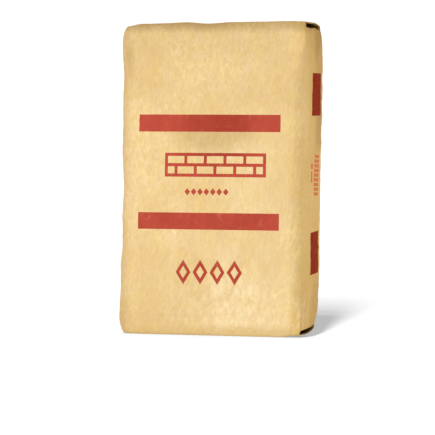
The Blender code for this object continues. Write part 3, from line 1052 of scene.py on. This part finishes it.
# The other pieces

def cut_corners(reach_x, reach_y, cut):
    """Cuts the four corners off the sheet that was just added."""
    bpy.ops.object.mode_set(mode="EDIT")
    for side_x in (-1, 1):
        for side_y in (-1, 1):
            bpy.ops.mesh.select_all(action="SELECT")
            bpy.ops.mesh.bisect(
                plane_co=(side_x * (reach_x - cut), side_y * reach_y, 0.0),
                plane_no=(side_x, side_y, 0.0), use_fill=True, clear_outer=True)
    bpy.ops.object.mode_set(mode="OBJECT")


def make_patch(name, low, high, shape):
    """A thin glued sheet that lies on an end and follows its waves and lifted corners."""
    half_y = shape.patch_width / 2
    step, edge_lines = 0.0055, (0.0010, 0.0030)
    corner_cut = 0.008
    lines_x = even_lines(low.x, high.x, step, edge_lines)
    lines_y = even_lines(-half_y, half_y, step, edge_lines)
    piece = grid_block(name, (lines_x, lines_y, [low.z, high.z]))
    cut_corners(high.x, half_y, corner_cut)
    points = read_points(piece)
    shift_ends(points, shape)
    if high.z > SACK_TOP:
        radius = fold_radius(points, shape.top_fold)
        over = np.clip(np.abs(points[:, 1]) - (shape.half[1] - radius), 0.0, radius)
        points[:, 2] -= radius - np.sqrt(radius ** 2 - over ** 2)
        points[:, 2] += flap_relief(points[:, 0], points[:, 1], shape)
        points[:, 2] += 0.00015 * (noise_at(points * np.array([1.0, 1.0, 0.0]), 30.0, 6.1) + 0.5)
    write_points(piece, points)
    return piece


def make_cement(shape):
    """The filling: it keeps a little away from the paper and from the pockets in the ends."""
    clear, grain = 0.0065, 0.0006
    step, edge_lines = 0.010, (0.002, 0.006)
    half_x, half_y = shape.half
    piece = grid_block("cement_powder", (
        even_lines(clear - half_x, half_x - clear, step, edge_lines),
        even_lines(clear - half_y, half_y - clear, step, edge_lines),
        even_lines(SACK_FOOT + clear, SACK_TOP - clear, step, edge_lines, 2),
    ))
    block = read_points(piece)
    past_pocket = np.abs(block[:, 0]) - (half_x - shape.pocket_depth)
    slope = np.clip(past_pocket / shape.pocket_depth, 0.0, 1.0)
    depth = soft_step((past_pocket + 0.014) / 0.012) * (0.0035 + shape.mouth * slope)
    lever = (block[:, 2] - SACK_MIDDLE) / (SACK_TOP - clear - SACK_MIDDLE)
    block[:, 2] -= depth * np.sign(lever) * np.abs(lever) ** 6
    points = shape_points(block, shape)
    raise_surface(piece, points, (noise_at(points, 40.0, 7.7) - 1.0) * grain)
    return piece


def make_sleeve(shape):
    """The valve's flat paper tube: open at its mouth in the slit, pressed shut further in."""
    wall, closed_end, bore_cuts = 0.0005, 0.004, 18
    low, high = SLEEVE_LOW, SLEEVE_HIGH
    piece = grid_block("valve_paper_sleeve", (
        even_lines(low.x, high.x, 0.006, (0.0010,)),
        even_lines(low.y, high.y, 0.005, (wall, 0.0020)),
        [low.z, low.z + wall, high.z - wall, high.z],
    ))
    bore = high.x - low.x - closed_end

    def in_mouth(face):
        middle = face.calc_center_median()
        inside = low.z + wall < middle.z < high.z - wall and abs(middle.y) < high.y - wall
        return inside and middle.x > high.x - TINY

    def along_bore(edge):
        return abs(edge.verts[0].co.x - edge.verts[1].co.x) > bore * 0.9

    bpy.ops.object.mode_set(mode="EDIT")
    select_where("FACE", in_mouth)
    bpy.ops.mesh.extrude_region_move(TRANSFORM_OT_translate={"value": (-bore, 0.0, 0.0)})
    select_where("EDGE", along_bore)
    bpy.ops.mesh.subdivide(number_cuts=bore_cuts)
    bpy.ops.object.mode_set(mode="OBJECT")
    points = read_points(piece)
    open_share = soft_curve(((low.x, 0.50), (high.x - 0.026, 0.28), (high.x, 1.0)), points[:, 0])
    points[:, 2] = high.z - (high.z - points[:, 2]) * open_share
    points[:, 2] -= 0.0003 * noise_at(points * np.array([1.0, 1.0, 0.0]), 60.0, 2.4) ** 2
    shift_ends(points, shape)
    write_points(piece, points)
    return piece


class SACK_OT_paper(bpy.types.Operator):
    """Model the creased kraft sack with its folded ends and slits"""

    bl_idname = "sack.paper"
    bl_label = "Paper sack"

    def execute(self, context):
        piece = make_sack(context.scene.sack_shape)
        finish_piece(piece, kraft_material(context.scene.sack_colours))
        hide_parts("paper_sack")
        return {"FINISHED"}


class SACK_OT_patches(bpy.types.Operator):
    """Model the cover patches glued over the two ends"""

    bl_idname = "sack.patches"
    bl_label = "Cover patches"

    def execute(self, context):
        material = patch_material(context.scene.sack_colours)
        for node, (low, high) in PATCH_BOXES.items():
            piece = make_patch(node.replace("cover", "glued"), low, high, context.scene.sack_shape)
            finish_piece(piece, material)
            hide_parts(node)
        return {"FINISHED"}


class SACK_OT_filling(bpy.types.Operator):
    """Model the cement inside the sack and the valve's paper sleeve"""

    bl_idname = "sack.filling"
    bl_label = "Cement and valve sleeve"

    def execute(self, context):
        shape, colours = context.scene.sack_shape, context.scene.sack_colours
        cement = make_cement(shape)
        finish_piece(cement, cement_material(colours))
        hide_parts("cement_fill")
        sleeve = make_sleeve(shape)
        finish_piece(sleeve, sleeve_material(colours))
        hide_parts("valve_sleeve")
        return {"FINISHED"}


def make_floor(studio):
    """A plain white lit table: its own glow keeps the shadow on it light."""
    deselect_all()
    bpy.ops.mesh.primitive_circle_add(vertices=96, radius=FLOOR_RADIUS, fill_type="NGON")
    floor = bpy.context.active_object
    floor.name = "floor"
    recipe = Recipe("pale_floor")
    grey = recipe.mix(recipe.noise(3.0, 2.0, 0.5), (0.117, 0.117, 0.120), (0.123, 0.123, 0.126))
    recipe.set(recipe.shader, {
        "Base Color": grey, "Emission Color": (*WHITE, 1.0), "Emission Strength": studio.floor_glow,
        "Roughness": 0.9, "Specular IOR Level": 0.0})
    floor.data.materials.append(recipe.material)
    return floor


def make_backdrop():
    """A white dome that only the camera sees. The light comes from the world and the lamps."""
    deselect_all()
    bpy.ops.mesh.primitive_uv_sphere_add(segments=48, ring_count=24, radius=DOME_RADIUS)
    dome = bpy.context.active_object
    dome.name = "backdrop"
    material = bpy.data.materials.new("white_backdrop")
    material.use_nodes = True
    nodes = material.node_tree.nodes
    nodes.clear()
    glow = nodes.new("ShaderNodeEmission")
    glow.inputs["Strength"].default_value = 1.1
    output = nodes.new("ShaderNodeOutputMaterial")
    material.node_tree.links.new(glow.outputs[0], output.inputs[0])
    dome.data.materials.append(material)
    for ray in ("diffuse", "glossy", "transmission", "volume_scatter", "shadow"):
        setattr(dome, "visible_" + ray, False)


def add_sun(name, toward, strength, colour, softness, floor, lights_floor):
    """A sun from the given side that lights either the floor alone or all but the floor."""
    lamp = bpy.data.lights.new(name, "SUN")
    lamp.energy = strength
    lamp.color = colour
    lamp.angle = math.radians(softness)
    holder = bpy.data.objects.new(name, lamp)
    bpy.context.scene.collection.objects.link(holder)
    holder.rotation_mode = "QUATERNION"
    holder.rotation_quaternion = Vector(toward).to_track_quat("Z", "Y")
    lit = bpy.data.collections.new(name + "_lights")
    lit.objects.link(floor)
    lit.collection_objects[0].light_linking.link_state = "INCLUDE" if lights_floor else "EXCLUDE"
    holder.light_linking.receiver_collection = lit


def make_light(studio, floor):
    world = bpy.data.worlds.new("studio")
    world.use_nodes = True
    background = world.node_tree.nodes["Background"]
    background.inputs["Color"].default_value = (1.0, 0.99, 0.97, 1.0)
    background.inputs["Strength"].default_value = studio.sky
    bpy.context.scene.world = world
    add_sun("key", (-0.75, -1.0, 0.75), studio.key, (1.0, 0.99, 0.96), 12.0, floor, False)
    add_sun("front", (0.05, -1.0, 0.15), studio.front, WHITE, 20.0, floor, False)
    add_sun("side", (0.80, 0.45, 0.35), studio.side, (1.0, 0.68, 0.26), 20.0, floor, False)
    away = studio.turn - math.radians(SHADOW_TURN)
    for index, rise in enumerate(FLOOR_SUN_RISES):
        low = (math.sin(away), -math.cos(away), math.tan(math.radians(rise)))
        strength = studio.floor_sun / len(FLOOR_SUN_RISES) / math.sin(math.radians(rise))
        add_sun("floor_sun_%d" % index, low, strength, WHITE, 2.8, floor, True)
    behind = 0.17                 # how far the light from above leans away from the camera
    above = (-behind * math.sin(studio.turn), behind * math.cos(studio.turn), 1.0)
    add_sun("floor_top", above, studio.floor_top, WHITE, 26.0, floor, True)


def make_camera(studio):
    """A camera that looks at the sack's axis, turned, tilted and rolled as the photo's was."""
    right = Vector((math.cos(studio.turn), math.sin(studio.turn), 0.0))
    level = Vector((-math.sin(studio.turn), math.cos(studio.turn), 0.0))
    forward = level * math.cos(studio.tilt)
    forward.z = math.sin(studio.tilt)
    up = right.cross(forward)
    place = right * studio.offset - level * studio.distance
    place.z = studio.height
    axis_x = math.cos(studio.roll) * right + math.sin(studio.roll) * up
    axis_y = -math.sin(studio.roll) * right + math.cos(studio.roll) * up
    camera = bpy.data.cameras.new("camera")
    camera.lens = studio.lens
    camera.sensor_width = 36.0
    camera.clip_end = 100.0
    holder = bpy.data.objects.new("camera", camera)
    bpy.context.scene.collection.objects.link(holder)
    turned = Matrix((axis_x, axis_y, -forward)).transposed().to_4x4()
    holder.matrix_world = Matrix.Translation(place) @ turned
    bpy.context.scene.camera = holder


class SACK_OT_studio(bpy.types.Operator):
    """Set the pale floor, the backdrop, the light and the camera"""

    bl_idname = "sack.studio"
    bl_label = "Studio"

    def execute(self, context):
        studio = context.scene.sack_studio
        floor = make_floor(studio)
        make_backdrop()
        make_light(studio, floor)
        make_camera(studio)
        context.scene.view_settings.view_transform = "Standard"
        return {"FINISHED"}


class SACK_PT_panel(bpy.types.Panel):
    """Sizes, colours and steps of the sack"""

    bl_idname = "SACK_PT_panel"
    bl_label = "Paper sack"
    bl_space_type = "VIEW_3D"
    bl_region_type = "UI"
    bl_category = "Sack"

    def draw(self, context):
        for step in STEPS:
            self.layout.operator(step.bl_idname)
        for group in (context.scene.sack_shape, context.scene.sack_colours, context.scene.sack_studio):
            box = self.layout.box()
            for name in group.__annotations__:
                box.prop(group, name)


STEPS = (SACK_OT_paper, SACK_OT_patches, SACK_OT_filling, SACK_OT_studio)
CLASSES = (SackShape, SackColours, StudioSetting, *STEPS, SACK_PT_panel)


def register():
    for item in CLASSES:
        bpy.utils.register_class(item)
    bpy.types.Scene.sack_shape = PointerProperty(type=SackShape)
    bpy.types.Scene.sack_colours = PointerProperty(type=SackColours)
    bpy.types.Scene.sack_studio = PointerProperty(type=StudioSetting)


def unregister():
    del bpy.types.Scene.sack_studio
    del bpy.types.Scene.sack_colours
    del bpy.types.Scene.sack_shape
    for item in reversed(CLASSES):
        bpy.utils.unregister_class(item)


def main():
    register()
    bpy.ops.sack.paper()
    bpy.ops.sack.patches()
    bpy.ops.sack.filling()
    bpy.ops.sack.studio()


if __name__ == "__main__":
    main()
